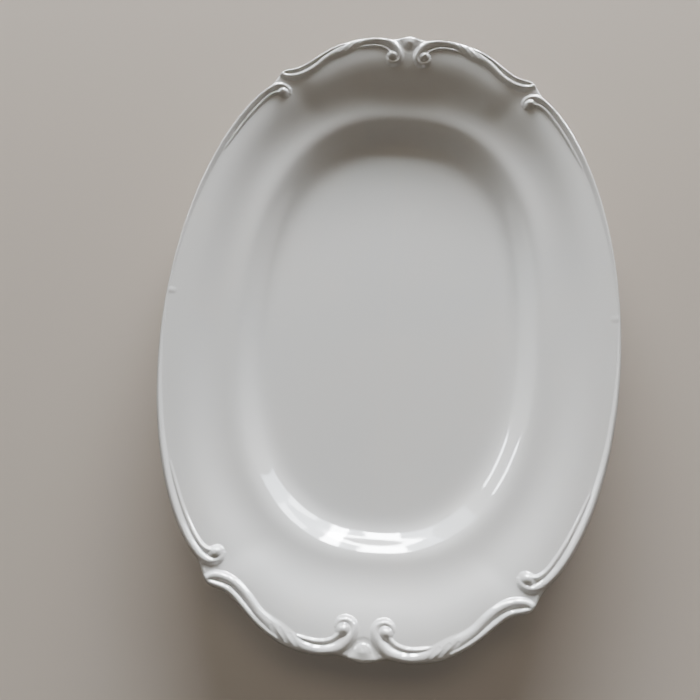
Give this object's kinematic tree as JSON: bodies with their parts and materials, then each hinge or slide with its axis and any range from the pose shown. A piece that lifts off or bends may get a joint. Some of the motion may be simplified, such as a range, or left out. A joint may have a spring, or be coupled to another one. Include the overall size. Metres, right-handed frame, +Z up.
{
  "type": "serving platter",
  "caption": "Oval white china serving platter with a shallow well, a four-lobed rim edged with scroll mouldings in relief, and a foot ring to rest on.",
  "frame": {"origin": "centre of the foot ring's oval, on the plane it stands on", "axes": "+Y along the long axis, from one crested end to the other; +X across the short axis; +Z up, out of the well"},
  "size_m": [0.245, 0.36, 0.0346],
  "materials": {
    "porcelain": "gloss white glaze",
    "foot_biscuit": "ground, unglazed bearing edge"
  },
  "bodies": {
    "root": {"well": "porcelain", "rim": "porcelain", "foot_ring": "foot_biscuit", "scroll_far_right": "porcelain", "scroll_far_left": "porcelain", "scroll_near_right": "porcelain", "scroll_near_left": "porcelain", "side_bead_right": "porcelain", "side_bead_left": "porcelain", "crest_far": "porcelain", "crest_near": "porcelain"}
  },
  "joints": []
}
